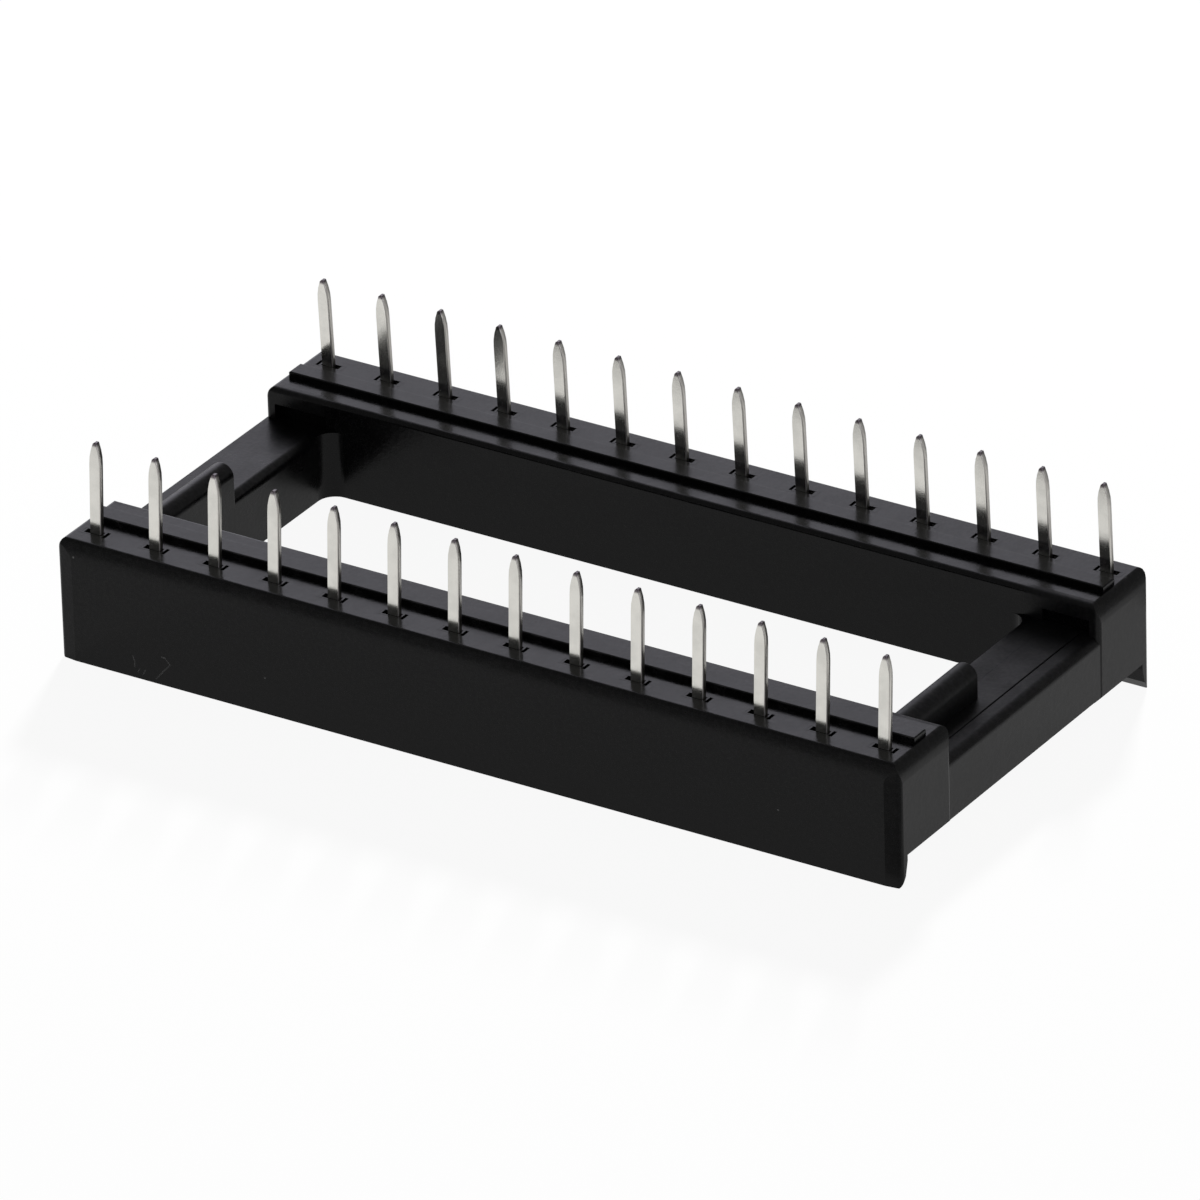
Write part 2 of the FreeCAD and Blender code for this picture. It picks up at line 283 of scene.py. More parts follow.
class SocketFinish(bpy.types.PropertyGroup):
    """Colours and surface of the two materials."""

    plastic_colour: FloatVectorProperty(
        name="Plastic",
        description="Base colour of the dark grain of the moulded housing",
        subtype="COLOR",
        size=3,
        default=(0.0022, 0.0022, 0.0025),
    )
    filler_colour: FloatVectorProperty(
        name="Filler",
        description="Base colour of the paler grain where the filler lies near the skin",
        subtype="COLOR",
        size=3,
        default=(0.0095, 0.0092, 0.0098),
    )
    plastic_roughness: FloatProperty(
        name="Plastic roughness",
        description="Roughness of the moulded skin",
        default=0.20,
        min=0.0,
        max=1.0,
    )
    near_bar_roughness: FloatProperty(
        name="Near bar roughness",
        description="Roughness that the coarser skin of the right crossbar adds",
        default=0.25,
        min=0.0,
        max=1.0,
    )
    far_bar_roughness: FloatProperty(
        name="Far bar roughness",
        description="Roughness that the coarser skin of the left crossbar adds",
        default=0.10,
        min=0.0,
        max=1.0,
    )
    plastic_ior: FloatProperty(
        name="Plastic index",
        description="Refractive index of the moulded skin, which sets its gloss",
        default=1.27,
        min=1.0,
        max=2.0,
    )
    scratch_colour: FloatVectorProperty(
        name="Scratch",
        description="Colour of the plastic where it is scratched",
        subtype="COLOR",
        size=3,
        default=(0.15, 0.15, 0.15),
    )
    scratch_width: FloatProperty(
        name="Scratch width",
        description="Half width of a handling scratch",
        subtype="DISTANCE",
        unit="LENGTH",
        default=0.035 * MM,
    )
    tin_colour: FloatVectorProperty(
        name="Tin",
        description="Colour of the tin plate",
        subtype="COLOR",
        size=3,
        default=(0.88, 0.865, 0.81),
    )
    edge_colour: FloatVectorProperty(
        name="Sheared edge",
        description="Colour of the thinner tin on the sheared edges",
        subtype="COLOR",
        size=3,
        default=(0.74, 0.72, 0.67),
    )
    cut_colour: FloatVectorProperty(
        name="Cut end",
        description="Colour of the bare alloy on the cut ends of the tails",
        subtype="COLOR",
        size=3,
        default=(0.16, 0.14, 0.15),
    )
    tin_roughness: FloatProperty(
        name="Tin roughness",
        description="Roughness of the tin plate",
        default=0.16,
        min=0.0,
        max=1.0,
    )


class SocketTrim(bpy.types.PropertyGroup):
    """Rims of the tail slots, and the land and the shelf of the right crossbar."""

    opening_length: FloatProperty(
        name="Opening length",
        description="Length of the opening that the rim leaves round a tail",
        subtype="DISTANCE",
        unit="LENGTH",
        default=0.84 * MM,
    )
    opening_width: FloatProperty(
        name="Opening width",
        description="Width of the opening that the rim leaves round a tail",
        subtype="DISTANCE",
        unit="LENGTH",
        default=0.29 * MM,
    )
    rim_depth: FloatProperty(
        name="Rim depth",
        description="Depth of the rim below the face of the socket",
        subtype="DISTANCE",
        unit="LENGTH",
        default=0.30 * MM,
    )
    rim_cover: FloatProperty(
        name="Rim cover",
        description="Width by which a rim covers the edge of its slot",
        subtype="DISTANCE",
        unit="LENGTH",
        default=0.02 * MM,
    )
    edge_bevel: FloatProperty(
        name="Edge bevel",
        description="Width of the bevel on the outer edge of the land",
        subtype="DISTANCE",
        unit="LENGTH",
        default=0.02 * MM,
    )
    groove_width: FloatProperty(
        name="Groove width",
        description="Width of the groove between the land and the outer edge of the crossbar",
        subtype="DISTANCE",
        unit="LENGTH",
        default=0.06 * MM,
    )
    shelf_width: FloatProperty(
        name="Shelf width",
        description="Width by which the right crossbar reaches further into the window",
        subtype="DISTANCE",
        unit="LENGTH",
        default=0.55 * MM,
    )
    shelf_overlap: FloatProperty(
        name="Shelf overlap",
        description="Width by which the shelf covers the rounded edge of the crossbar",
        subtype="DISTANCE",
        unit="LENGTH",
        default=0.34 * MM,
    )
    window_radius: FloatProperty(
        name="Window radius",
        description="Radius of the two round corners of the window at the shelf",
        subtype="DISTANCE",
        unit="LENGTH",
        default=0.70 * MM,
    )
    rise: FloatProperty(
        name="Rise",
        description="Height of rims and shelf above the face they lie on, so that none coincide",
        subtype="DISTANCE",
        unit="LENGTH",
        default=0.004 * MM,
    )


class SocketStage(bpy.types.PropertyGroup):
    """Floor, light and camera."""

    floor_size: FloatProperty(
        name="Floor size",
        description="Side of the square floor",
        subtype="DISTANCE",
        unit="LENGTH",
        default=4.0,
    )
    floor_colour: FloatVectorProperty(
        name="Floor",
        description="Colour of the floor",
        subtype="COLOR",
        size=3,
        default=(0.86, 0.86, 0.86),
    )
    floor_shadow: FloatProperty(
        name="Floor shadow",
        description="Share of the floor's own lit surface that the camera sees",
        default=0.07,
        min=0.0,
        max=1.0,
    )
    floor_glow: FloatProperty(
        name="Floor glow",
        description="Brightness of the floor in the gloss of the socket",
        default=0.74,
        min=0.0,
        max=1.0,
    )
    # Painted shadow: the floor's gloss where the socket's shadow falls before the near right corner
    painted_shadow_glow: FloatProperty(
        name="Corner glow",
        description="Brightness in the gloss of the floor before the near right corner",
        default=0.36,
        min=0.0,
        max=1.0,
    )
    # Painted dark reflection: the floor's gloss in the band behind the socket
    painted_band_glow: FloatProperty(
        name="Band glow",
        description="Brightness in the gloss of the band of floor behind the socket",
        default=0.05,
        min=0.0,
        max=1.0,
    )
    glow_reach: FloatProperty(
        name="Glow reach",
        description="Distance up to which the socket's gloss shows the floor at full strength",
        subtype="DISTANCE",
        unit="LENGTH",
        default=13.0 * MM,
    )
    glow_fade: FloatProperty(
        name="Glow fade",
        description="Distance past which the socket's gloss shows the floor as the dark side",
        subtype="DISTANCE",
        unit="LENGTH",
        default=20.0 * MM,
    )
    fill_light: FloatProperty(
        name="Fill light",
        description="Strength of the even light from all round",
        default=0.12,
        min=0.0,
    )
    dark_side: FloatProperty(
        name="Dark side",
        description="Strength of the surroundings in the gloss, away from the two bright sides",
        default=0.28,
        min=0.0,
    )
    bright_side: FloatProperty(
        name="Bright side",
        description="Strength of the two bright sides in the gloss",
        default=1.57,
        min=0.0,
    )
    bright_colour: FloatVectorProperty(
        name="Bright colour",
        description="Colour of the two bright sides in the gloss",
        subtype="COLOR",
        size=3,
        default=(0.915, 0.905, 1.0),
    )
    key_power: FloatProperty(
        name="Key lamp",
        description="Power of the lamp behind the socket",
        subtype="POWER",
        unit="POWER",
        default=4.3,
        min=0.0,
    )
    key_size: FloatProperty(
        name="Key size",
        description="Side of the square lamp behind the socket",
        subtype="DISTANCE",
        unit="LENGTH",
        default=0.06,
    )
    key_distance: FloatProperty(
        name="Key distance",
        description="Distance of the lamp from the socket",
        subtype="DISTANCE",
        unit="LENGTH",
        default=0.5,
    )
    key_turn: FloatProperty(
        name="Key turn",
        description="Turn of the lamp from straight behind the socket towards its left end",
        subtype="ANGLE",
        unit="ROTATION",
        default=math.radians(20.4),
    )
    key_height: FloatProperty(
        name="Key height",
        description="Angle of the lamp above the floor",
        subtype="ANGLE",
        unit="ROTATION",
        default=math.radians(33.5),
    )
    focal_length: FloatProperty(
        name="Focal length",
        description="Focal length of the camera in millimetres",
        default=453.0,
    )


def scratch_mask(tree, place, half_width):
    """1 on the scratches: near to one of their segments, as seen along Y, and in the front wall."""
    x, y, z = parts_of(tree, place)
    across = add(tree, "ShaderNodeCombineXYZ", None, i0=x, i2=z).outputs[0]
    wobble = maths(tree, "MULTIPLY", noise(tree, place, SCRATCH_GRAIN), half_width)
    nearest = None
    for run in FRONT_SCRATCHES:
        for (x0, z0), (x1, z1) in zip(run, run[1:]):
            start = np.array([x0, 0.0, z0]) * MM
            step = np.array([x1 - x0, 0.0, z1 - z0]) * MM
            from_start = vector_maths(tree, "SUBTRACT", across, tuple(start))
            along = vector_maths(tree, "DOT_PRODUCT", from_start, tuple(step / (step @ step)))
            along = add(tree, "ShaderNodeClamp", None, Value=along).outputs[0]
            foot = scaled(tree, tuple(step), along)
            away = vector_maths(tree, "LENGTH", vector_maths(tree, "SUBTRACT", from_start, foot))
            nearest = away if nearest is None else maths(tree, "MINIMUM", nearest, away)
    ragged = maths(tree, "ADD", nearest, wobble)
    inner, outer = (half_width * share for share in SCRATCH_FADE)
    on_line = ramp(tree, ragged, inner, outer, 1.0, 0.0)
    in_front = maths(tree, "LESS_THAN", y, HOUSING_LOW.y + SCRATCH_ZONE)
    return maths(tree, "MULTIPLY", on_line, in_front)


def speck_mask(tree, place):
    """1 on the pale specks: near to one of their places."""
    nearest = None
    for speck in SPECKS:
        away = vector_maths(tree, "DISTANCE", place, tuple(np.array(speck) * MM))
        nearest = away if nearest is None else maths(tree, "MINIMUM", nearest, away)
    return ramp(tree, nearest, SPECK_CORE * SPECK_RADIUS, SPECK_RADIUS, 1.0, 0.0)


def bar_skin(tree, place, finish):
    """Roughness that the coarser skin of the two crossbars and their ribs adds."""
    x, y, z = parts_of(tree, place)
    across = ramp(tree, maths(tree, "ABSOLUTE", y), *SKIN_EDGE_Y, 1.0, 0.0)
    below = ramp(tree, z, SOLDER_FACE, HOUSING_HIGH.z, 1.0, 0.0)
    near = ramp(tree, x, *NEAR_SKIN_INNER_X, 0.0, finish.near_bar_roughness)
    near = maths(tree, "MULTIPLY", near, ramp(tree, x, *NEAR_SKIN_OUTER_X, 1.0, 0.0))
    far = ramp(tree, x, *FAR_SKIN_INNER_X, finish.far_bar_roughness, 0.0)
    bars = maths(tree, "ADD", near, far)
    return maths(tree, "MULTIPLY", maths(tree, "MULTIPLY", across, below), bars)


def plastic_material(finish):
    """Black moulded plastic: a thin gloss over fine mottled grain, with handling scratches."""
    material = bpy.data.materials.new("moulded_black_plastic")
    tree = start_tree(material)
    place = add(tree, "ShaderNodeTexCoord").outputs["Object"]
    grain = ramp(tree, noise(tree, place, GRAIN, 3.0), *GRAIN_RANGE)
    tint = blend_colour(tree, TINT_SHARE, WHITE, noise(tree, place, TINT_GRAIN, 2.0, 1))
    filler = blend_colour(tree, 1.0, rgba(finish.filler_colour), tint, "MULTIPLY")
    grained = blend_colour(tree, grain, rgba(finish.plastic_colour), filler)
    scratched = scratch_mask(tree, place, finish.scratch_width)
    marked = maths(tree, "MAXIMUM", scratched, speck_mask(tree, place))
    colour = blend_colour(tree, marked, grained, rgba(finish.scratch_colour))
    cloud = ramp(tree, noise(tree, place, CLOUD_GRAIN, 3.0), *CLOUD_RANGE, *CLOUD_ROUGHNESS)
    rough = maths(tree, "ADD", cloud, finish.plastic_roughness)
    rough = maths(tree, "MULTIPLY_ADD", scratched, SCRATCH_ROUGHNESS, rough)
    rough = maths(tree, "ADD", rough, bar_skin(tree, place, finish))
    bump = add(
        tree,
        "ShaderNodeBump",
        None,
        Strength=PLASTIC_BUMP_SHARE,
        Distance=PLASTIC_BUMP_HEIGHT,
        Height=maths(tree, "MULTIPLY_ADD", noise(tree, place, SWELL_GRAIN), SWELL_SHARE, grain),
    )
    shader = add(
        tree,
        "ShaderNodeBsdfPrincipled",
        None,
        Base_Color=colour,
        Roughness=rough,
        IOR=finish.plastic_ior,
        Normal=bump.outputs[0],
    )
    add(tree, "ShaderNodeOutputMaterial", None, Surface=shader.outputs[0])
    return material


def rounded_edges(tree, coordinates):
    """Normal of a tail as if its sheared edges were round.

    Its part along Y is the place in the strip's thickness, from -1 to 1, and the rest of it keeps
    the true normal's direction in X and Z. The middle of a tail leans towards the window above the
    solder face.
    """
    normal = coordinates.outputs["Normal"]
    y, z = parts_of(tree, coordinates.outputs["Object"])[1:]
    height = maths(tree, "MAXIMUM", maths(tree, "SUBTRACT", z, SOLDER_FACE), 0.0)
    middle = maths(tree, "MULTIPLY_ADD", height, -TAIL_LEAN / TAIL_LENGTH, ROW_SPACING / 2)
    away = maths(tree, "SUBTRACT", maths(tree, "ABSOLUTE", y), middle)
    share = maths(tree, "MULTIPLY", away, 2 / STRIP_THICKNESS)
    turn = maths(tree, "MINIMUM", maths(tree, "MAXIMUM", share, -1.0), 1.0)
    turn = maths(tree, "MULTIPLY", turn, maths(tree, "SIGN", y))
    rest = maths(tree, "SQRT", maths(tree, "SUBTRACT", 1.0, maths(tree, "MULTIPLY", turn, turn)))
    flat = scaled(tree, vector_maths(tree, "MULTIPLY", normal, (1.0, 0.0, 1.0)), rest)
    across = add(tree, "ShaderNodeCombineXYZ", None, i1=turn).outputs[0]
    rounded = vector_maths(tree, "NORMALIZE", vector_maths(tree, "ADD", flat, across))
    on_tail = maths(tree, "GREATER_THAN", z, SOLDER_FACE - TAIL_SINK)
    shown = blend_vectors(tree, on_tail, normal, rounded)
    to_world = {"vector_type": "NORMAL", "convert_from": "OBJECT", "convert_to": "WORLD"}
    return add(tree, "ShaderNodeVectorTransform", to_world, Vector=shown).outputs[0]


def tin_material(finish):
    """Tin plate on the rolled faces, thinner on the sheared edges and none on the cut ends."""
    material = bpy.data.materials.new("tin_plated_strip")
    tree = start_tree(material)
    coordinates = add(tree, "ShaderNodeTexCoord")
    place = coordinates.outputs["Object"]
    facing = maths(tree, "ABSOLUTE", parts_of(tree, coordinates.outputs["Normal"])[1])
    sheared = ramp(tree, facing, *SHEARED_RANGE, 1.0, 0.0)
    cloud = ramp(tree, noise(tree, place, TIN_CLOUD_GRAIN, 3.0), *TIN_CLOUD_RANGE)
    dull_tin = rgba([channel * DULL_TIN_SHARE for channel in finish.tin_colour])
    tin = blend_colour(tree, cloud, rgba(finish.tin_colour), dull_tin)
    colour = blend_colour(tree, sheared, tin, rgba(finish.edge_colour))
    below_tip = maths(tree, "SUBTRACT", SOLDER_FACE + TAIL_LENGTH, parts_of(tree, place)[2])
    cut = ramp(tree, below_tip, *CUT_END)
    colour = blend_colour(tree, cut, colour, rgba(finish.cut_colour))
    rough = maths(tree, "MULTIPLY_ADD", sheared, SHEARED_ROUGHNESS, finish.tin_roughness)
    bump = add(
        tree,
        "ShaderNodeBump",
        None,
        Strength=TIN_BUMP_SHARE,
        Distance=TIN_BUMP_HEIGHT,
        Height=noise(tree, place, TIN_FINE_GRAIN),
        Normal=rounded_edges(tree, coordinates),
    )
    shader = add(
        tree,
        "ShaderNodeBsdfPrincipled",
        None,
        Base_Color=colour,
        Metallic=1.0,
        Roughness=rough,
        Normal=bump.outputs[0],
    )
    add(tree, "ShaderNodeOutputMaterial", None, Surface=shader.outputs[0])
    return material


def moulded(context):
    """The plastic, made once."""
    made = bpy.data.materials.get("moulded_black_plastic")
    return made or plastic_material(context.scene.socket_finish)


def add_piece(name, points, faces, material):
    """Make a flat-shaded piece that rides on the socket's body."""
    mesh = bpy.data.meshes.new(name)
    mesh.from_pydata(points.tolist(), [], faces)
    mesh.materials.append(material)
    piece = bpy.data.objects.new(name, mesh)
    bpy.context.scene.collection.objects.link(piece)
    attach(piece, "root")


def slot_rims(trim):
    """Points and faces of the rims: in each tail slot a profile of four points, carried round it.

    A point of the profile has a share and a depth. Its half sizes are those of the slot and its
    cover at share 0 and those of the opening at share 1, and it lies at its depth below the
    socket's face.
    """
    slot = np.array([SLOT_LENGTH, SLOT_WIDTH]) / 2 + trim.rim_cover
    opening = np.array([trim.opening_length, trim.opening_width]) / 2
    share = np.array([0.0, 1.0, 1.0, 0.0])
    depth = np.array([-trim.rise, -trim.rise, trim.rim_depth, trim.rim_depth])
    corners = np.array([(-1, -1), (1, -1), (1, 1), (-1, 1)])
    half = slot + share[:, None] * (opening - slot)
    flat = corners[:, None, :] * half[None, :, :]
    below = np.broadcast_to(-depth[None, :, None], flat.shape[:2] + (1,))
    rim = np.concatenate([flat, below], axis=2)
    boxes = [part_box(name) for name in CONTACTS]
    middle = np.array([(low.x + high.x) / 2 for low, high in boxes])
    row = np.sign([low.y + high.y for low, high in boxes]) * ROW_SPACING / 2
    face = np.full(len(boxes), SOLDER_FACE)
    centres = np.stack([middle, row, face], axis=1)
    points = (centres[:, None, None, :] + rim[None]).reshape(-1, 3)
    steps = len(share)
    corner, step = np.meshgrid(np.arange(len(corners)), np.arange(steps), indexing="ij")
    next_corner = (corner + 1) % len(corners)
    next_step = (step + 1) % steps
    ring = np.stack(
        [
            corner * steps + step,
            next_corner * steps + step,
            next_corner * steps + next_step,
            corner * steps + next_step,
        ],
        axis=2,
    ).reshape(-1, 4)
    first = np.arange(len(boxes)) * len(corners) * steps
    faces = (first[:, None, None] + ring[None]).reshape(-1, 4)
    return points, faces.tolist()


def carried(outline, ends, axis):
    """Points and side faces of a closed flat outline carried straight along an axis to both ends.

    The outline's two numbers fill the other axes in their order, and each of its points joins the
    same point of the other end. The sides face outwards where the outline runs clockwise, as seen
    from the far end of the axis.
    """
    count = len(outline)
    points = np.zeros((len(ends), count, 3))
    points[:, :, [other for other in range(3) if other != axis]] = outline
    points[:, :, axis] = np.array(ends)[:, None]
    step = np.arange(count)
    after = (step + 1) % count
    sides = np.stack([after, step, count + step, count + after], axis=1)
    return points.reshape(-1, 3), sides.tolist()


def crossbar_land(trim):
    """Points and faces of the land: an outline of five points in X and Z, carried along Y."""
    low = CROSSBAR_TOP - LEDGE_DEPTH
    inner, outer = LEDGE_X[0], LEDGE_X[1] - trim.groove_width
    bevel = trim.edge_bevel
    outline = [
        (inner, low),
        (outer, low),
        (outer, CROSSBAR_TOP - bevel),
        (outer - bevel, CROSSBAR_TOP),
        (inner, CROSSBAR_TOP),
    ]
    points, sides = carried(outline, (-LEDGE_Y, LEDGE_Y), 1)
    first_cap = list(range(len(outline)))
    last_cap = [len(outline) + index for index in first_cap[::-1]]
    return points, sides + [first_cap, last_cap]


def crossbar_shelf(trim):
    """Points and faces of the shelf: two quarter circles and two corners, carried along Z.

    The quarter circles are the hollow corners of the window. Each is centred one radius from the
    shelf's inner edge and from the wall. Top and underside are a fan over each quarter circle, from
    the corner behind it, and one face between the fans.
    """
    inner = CROSSBAR_INNER_X - trim.shelf_width
    outer = CROSSBAR_INNER_X + trim.shelf_overlap
    radius = trim.window_radius
    turn = np.linspace(0.0, math.pi / 2, ARC_POINTS)
    arc = np.stack([np.cos(turn), np.sin(turn)], axis=1) * radius
    back = arc + (inner - radius, INNER_WALL_Y - radius)
    front = (back * (1.0, -1.0))[::-1]
    outline = np.concatenate([front, back, [(outer, INNER_WALL_Y), (outer, -INNER_WALL_Y)]])
    points, sides = carried(outline, (CROSSBAR_UNDERSIDE, CROSSBAR_TOP + trim.rise), 2)
    count = len(outline)
    step = np.arange(len(turn) - 1)
    front_fan = np.stack([np.full_like(step, count - 1), step, step + 1], axis=1)
    back_fan = front_fan + (-1, len(turn), len(turn))
    middle = [[count - 1, len(turn) - 1, len(turn), count - 2]]
    under = front_fan.tolist() + back_fan.tolist() + middle
    top = [[count + index for index in face[::-1]] for face in under]
    return points, sides + under + top


def dress(names, material):
    """Give nodes of the frame a material."""
    for name in names:
        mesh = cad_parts[name].data
        for index in range(len(mesh.materials)):
            mesh.materials[index] = material


class SOCKET_OT_housing(bpy.types.Operator):
    """Give the moulded housing its plastic"""

    bl_idname = "socket.housing"
    bl_label = "Housing"

    def execute(self, context):
        """Put the plastic on the housing's material slots."""
        dress(["housing"], moulded(context))
        return {"FINISHED"}


class SOCKET_OT_contacts(bpy.types.Operator):
    """Give the contacts their tin plate"""

    bl_idname = "socket.contacts"
    bl_label = "Contacts"

    def execute(self, context):
        """Put the tin on every contact."""
        dress(CONTACTS, tin_material(context.scene.socket_finish))
        return {"FINISHED"}


class SOCKET_OT_trim(bpy.types.Operator):
    """Add the rims of the tail slots and the land and the shelf of the right crossbar"""

    bl_idname = "socket.trim"
    bl_label = "Trim"

    def execute(self, context):
        """Make the pieces of moulded trim."""
        trim = context.scene.socket_trim
        add_piece("slot_rims", *slot_rims(trim), moulded(context))
        add_piece("crossbar_land", *crossbar_land(trim), moulded(context))
        add_piece("crossbar_shelf", *crossbar_shelf(trim), moulded(context))
        return {"FINISHED"}


class SOCKET_OT_stage(bpy.types.Operator):
    """Lay the floor and set the light and the camera"""

    bl_idname = "socket.stage"
    bl_label = "Stage"

    def execute(self, context):
        """Make the floor, the world, the lamp and the camera."""
        stage = context.scene.socket_stage
        lay_floor(stage)
        light_world(context.scene, stage)
        hang_key(stage)
        set_camera(context.scene, stage)
        return {"FINISHED"}


def straight_rays(tree):
    """1 for the rays that show a surface as it is: camera and transmission rays."""
    path = add(tree, "ShaderNodeLightPath").outputs
    return maths(tree, "MAXIMUM", path["Is Camera Ray"], path["Is Transmission Ray"])


def glossy_rays(tree):
    """1 for the rays that show a surface in the gloss of another."""
    return add(tree, "ShaderNodeLightPath").outputs["Is Glossy Ray"]


def painted_reflection_band(tree, place):
    """1 in the painted dark reflection: the band of floor that the back tails' right edges show."""
    x, y = parts_of(tree, place)[:2]
    from_middle = maths(tree, "ABSOLUTE", maths(tree, "SUBTRACT", y, BAND_MIDDLE_Y))
    band = ramp(tree, from_middle, *BAND_HALF_WIDTHS, 1.0, 0.0)
    left = ramp(tree, maths(tree, "MULTIPLY_ADD", x, -BAND_SLANT, y), *BAND_END)
    return maths(tree, "MULTIPLY", band, left)


def painted_shadow_wedge(tree, place):
    """1 in the painted shadow, the darker wedge of floor before the near right corner."""
    corner = (HOUSING_HIGH.x - WEDGE_INSET, -HOUSING_HIGH.y, 0.0)
    from_corner = vector_maths(tree, "SUBTRACT", place, corner)
    across = vector_maths(tree, "DOT_PRODUCT", from_corner, WEDGE_ACROSS)
    before = vector_maths(tree, "DOT_PRODUCT", from_corner, WEDGE_BEFORE)
    inside = ramp(tree, across, *WEDGE_ACROSS_REACH)
    return maths(tree, "MULTIPLY", inside, ramp(tree, before, *WEDGE_BEFORE_REACH))


def floor_material(stage):
    """Pale floor: white to the eye with a faint shadow, and bright in the gloss of the socket."""
    material = bpy.data.materials.new("pale_floor")
    tree = start_tree(material)
    lit = add(tree, "ShaderNodeBsdfDiffuse", None, Color=rgba(stage.floor_colour)).outputs[0]
    place = add(tree, "ShaderNodeTexCoord").outputs["Object"]
    half_sizes = (HOUSING_HIGH.x, HOUSING_HIGH.y, 0.0)
    outside = vector_maths(tree, "SUBTRACT", vector_maths(tree, "ABSOLUTE", place), half_sizes)
    outside = vector_maths(tree, "MAXIMUM", outside, (0.0, 0.0, 0.0))
    distance = vector_maths(tree, "LENGTH", outside)
    near = ramp(tree, distance, stage.glow_reach, stage.glow_fade, 1.0, 0.0)
    # Painted shadow: the wedge before the near right corner, darker in the gloss
    bright = ramp(tree, painted_shadow_wedge(tree, place), 0.0, 1.0, stage.floor_glow, stage.painted_shadow_glow)
    # Painted dark reflection: the band behind the socket, dark only in the gloss
    bright = blend_values(tree, painted_reflection_band(tree, place), bright, stage.painted_band_glow)
    glow = emission(tree, blend_values(tree, near, stage.dark_side, bright))
    in_gloss = mix_shaders(tree, stage.floor_shadow, glow, lit)
    to_eye = mix_shaders(tree, stage.floor_shadow, emission(tree, 1.0), lit)
    surface = mix_shaders(tree, glossy_rays(tree), lit, in_gloss)
    surface = mix_shaders(tree, straight_rays(tree), surface, to_eye)
    add(tree, "ShaderNodeOutputMaterial", None, Surface=surface)
    return material


def lay_floor(stage):
    """Square floor under the socket: an even grid of points in the plane z = 0."""
    half = stage.floor_size / 2
    count = FLOOR_POINTS
    across = np.linspace(-half, half, count)
    x, y = np.meshgrid(across, across)
    points = np.stack([x.ravel(), y.ravel(), np.zeros(x.size)], axis=1)
    first = np.arange(count * count).reshape(count, count)[:-1, :-1].ravel()
    faces = np.stack([first, first + 1, first + count + 1, first + count], axis=1)
    mesh = bpy.data.meshes.new("floor")
    mesh.from_pydata(points.tolist(), [], faces.tolist())
    floor = bpy.data.objects.new("floor", mesh)
    bpy.context.scene.collection.objects.link(floor)
    mesh.materials.append(floor_material(stage))


def bright_panel(tree, direction, side):
    """1 in the part of the sky behind the socket's left end (side 1) or opposite to it (side -1).

    The part lies between two upright planes through the zenith and below a height.
    """
    first, last = PANEL_TURNS
    past_first = (-side * math.cos(first), -side * math.sin(first), 0.0)
    before_last = (side * math.cos(last), side * math.sin(last), 0.0)
    past = ramp(tree, vector_maths(tree, "DOT_PRODUCT", direction, past_first), *PANEL_FIRST_EDGE)
    before = ramp(tree, vector_maths(tree, "DOT_PRODUCT", direction, before_last), *PANEL_LAST_EDGE)
    low = ramp(tree, parts_of(tree, direction)[2], *PANEL_TOP, 1.0, 0.0)
    return maths(tree, "MULTIPLY", low, maths(tree, "MULTIPLY", past, before))


def light_world(scene, stage):
    """White to the eye, an even fill light, and in the gloss a dark room with two bright sides."""
    world = bpy.data.worlds.new("studio")
    scene.world = world
    tree = start_tree(world)
    direction = add(tree, "ShaderNodeTexCoord").outputs["Generated"]
    left, right = (bright_panel(tree, direction, side) for side in (1, -1))
    panels = maths(tree, "MAXIMUM", left, right)
    bright = background(tree, stage.bright_side, rgba(stage.bright_colour))
    room = mix_shaders(tree, panels, background(tree, stage.dark_side), bright)
    surroundings = mix_shaders(tree, glossy_rays(tree), background(tree, stage.fill_light), room)
    surroundings = mix_shaders(tree, straight_rays(tree), surroundings, background(tree, 1.0))
    add(tree, "ShaderNodeOutputWorld", None, Surface=surroundings)


def hang_key(stage):
    """Square lamp behind the socket, which faces it and doesn't show in its gloss."""
    turn = stage.key_turn
    height = stage.key_height
    back = np.array(
        [-math.sin(turn) * math.cos(height), math.cos(turn) * math.cos(height), math.sin(height)]
    )
    side = np.cross((0.0, 0.0, 1.0), back)
    side /= np.linalg.norm(side)
    data = bpy.data.lights.new("key_lamp", "AREA")
    data.shape = "SQUARE"
    data.size = stage.key_size
    data.energy = stage.key_power
    lamp = bpy.data.objects.new("key_lamp", data)
    lamp.matrix_world = placed(side, np.cross(back, side), back, back * stage.key_distance)
    lamp.visible_glossy = False
    bpy.context.scene.collection.objects.link(lamp)


def placed(x_axis, y_axis, z_axis, origin):
    """Matrix that has three axes and an origin."""
    columns = np.stack([x_axis, y_axis, z_axis, origin], axis=1)
    return Matrix(columns.tolist() + [[0.0, 0.0, 0.0, 1.0]])


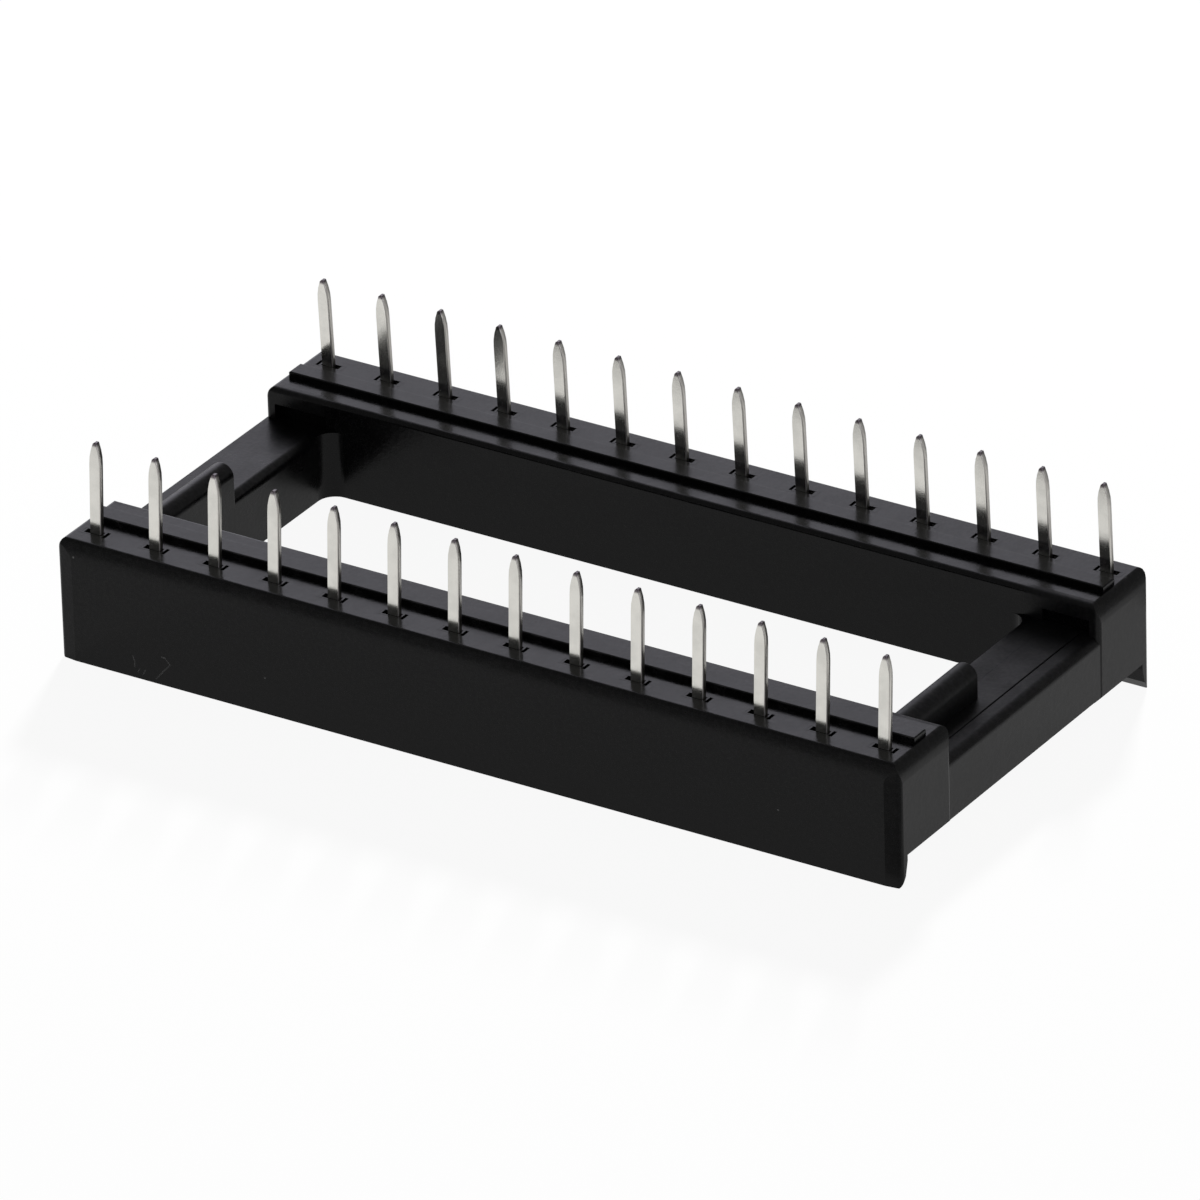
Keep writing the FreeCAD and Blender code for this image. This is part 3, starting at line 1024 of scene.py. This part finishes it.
def set_camera(scene, stage):
    """Camera above the near right corner, far away with a long lens and a slight roll."""
    aim = np.array([0.0, 0.0, SOLDER_FACE])
    level_right = np.array([math.cos(CAMERA_AZIMUTH), math.sin(CAMERA_AZIMUTH), 0.0])
    level_back = np.array([math.sin(CAMERA_AZIMUTH), -math.cos(CAMERA_AZIMUTH), 0.0])
    upwards = np.array([0.0, 0.0, 1.0])
    back = level_back * math.cos(CAMERA_ELEVATION) + upwards * math.sin(CAMERA_ELEVATION)
    level_up = np.cross(back, level_right)
    right = level_right * math.cos(CAMERA_ROLL) + level_up * math.sin(CAMERA_ROLL)
    up = -level_right * math.sin(CAMERA_ROLL) + level_up * math.cos(CAMERA_ROLL)
    data = bpy.data.cameras.new("camera")
    data.lens = stage.focal_length
    data.sensor_width = SENSOR_WIDTH
    data.sensor_fit = "HORIZONTAL"
    camera = bpy.data.objects.new("camera", data)
    camera.matrix_world = placed(right, up, back, aim + back * CAMERA_DISTANCE - up * CAMERA_DROP)
    scene.collection.objects.link(camera)
    scene.camera = camera
    scene.view_settings.view_transform = "Standard"


class SOCKET_PT_panel(bpy.types.Panel):
    """Sidebar list of the steps and their values"""

    bl_idname = "SOCKET_PT_panel"
    bl_label = "Chip socket"
    bl_space_type = "VIEW_3D"
    bl_region_type = "UI"
    bl_category = "Socket"

    def draw(self, context):
        """Show each group of values over its button."""
        layout = self.layout
        for group, steps in (
            (context.scene.socket_finish, ("socket.housing", "socket.contacts")),
            (context.scene.socket_trim, ("socket.trim",)),
            (context.scene.socket_stage, ("socket.stage",)),
        ):
            for key in group.__annotations__:
                layout.prop(group, key)
            for step in steps:
                layout.operator(step)


CLASSES = (
    SocketFinish,
    SocketTrim,
    SocketStage,
    SOCKET_OT_housing,
    SOCKET_OT_contacts,
    SOCKET_OT_trim,
    SOCKET_OT_stage,
    SOCKET_PT_panel,
)


def register():
    """Add the classes and the values that they use."""
    for item in CLASSES:
        bpy.utils.register_class(item)
    bpy.types.Scene.socket_finish = PointerProperty(type=SocketFinish)
    bpy.types.Scene.socket_trim = PointerProperty(type=SocketTrim)
    bpy.types.Scene.socket_stage = PointerProperty(type=SocketStage)


def unregister():
    """Take the classes and values away again."""
    del bpy.types.Scene.socket_stage
    del bpy.types.Scene.socket_trim
    del bpy.types.Scene.socket_finish
    for item in reversed(CLASSES):
        bpy.utils.unregister_class(item)


def main():
    """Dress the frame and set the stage."""
    register()
    bpy.ops.socket.housing()
    bpy.ops.socket.contacts()
    bpy.ops.socket.trim()
    bpy.ops.socket.stage()


if __name__ == "__main__":
    main()
